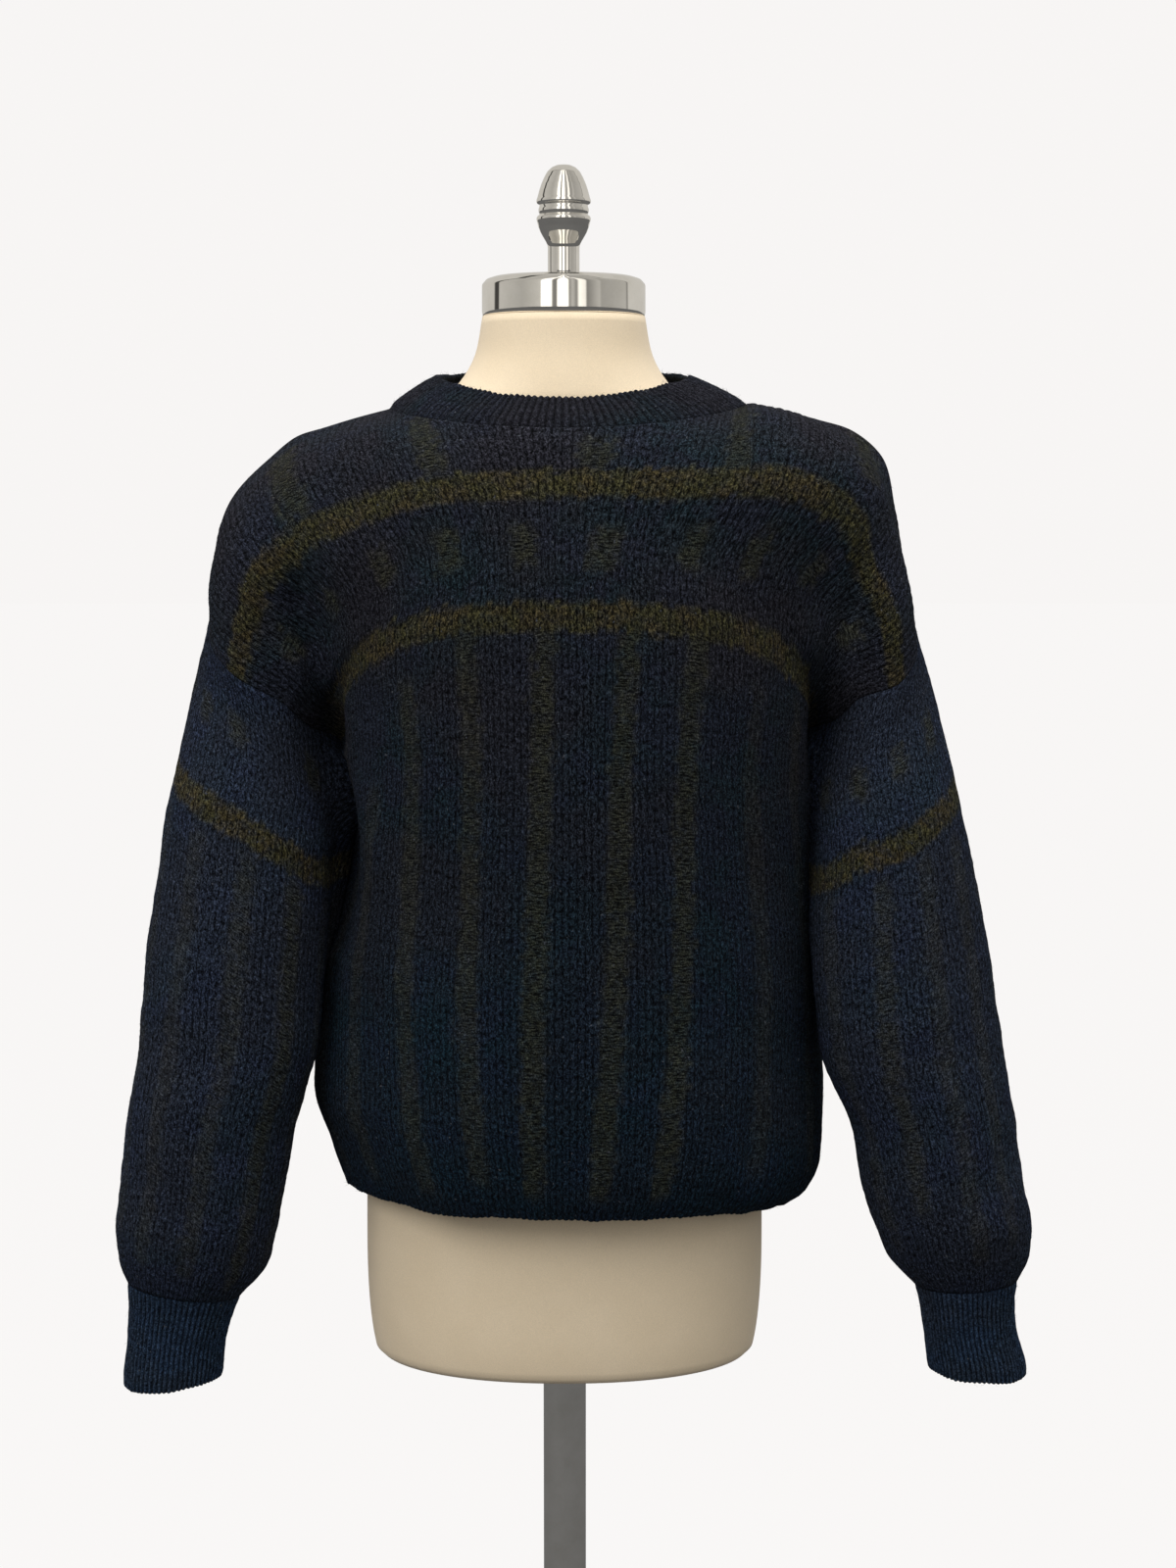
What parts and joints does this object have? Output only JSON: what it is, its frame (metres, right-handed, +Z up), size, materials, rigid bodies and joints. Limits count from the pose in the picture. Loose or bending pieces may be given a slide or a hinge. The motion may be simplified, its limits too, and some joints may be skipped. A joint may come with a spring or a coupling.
{
  "type": "wool sweater on a dress form",
  "caption": "Long-sleeved crew-neck wool pullover with dropped shoulders, crossing stripes, ribbed neckband and cuffs, worn by a limbless dress form on a pole stand.",
  "frame": {"origin": "on the floor, in the middle of the stand's underside", "axes": "+Z up the pole; -Y towards the front of the sweater; +X towards the wearer's left"},
  "size_m": [0.6639, 0.34, 1.574],
  "materials": {
    "navy_wool_knit": "soft napped wool knit",
    "navy_wool_rib": "soft napped wool rib",
    "cream_linen": "plain linen cover",
    "polished_chrome": "polished"
  },
  "bodies": {
    "root": {"front": "navy_wool_knit", "back": "navy_wool_knit", "sleeve_right": "navy_wool_knit", "sleeve_left": "navy_wool_knit", "neckband": "navy_wool_rib", "cuff_right": "navy_wool_rib", "cuff_left": "navy_wool_rib", "form_torso": "cream_linen", "form_cap": "polished_chrome", "form_finial": "polished_chrome", "form_pole": "polished_chrome", "form_base": "polished_chrome"}
  },
  "joints": []
}
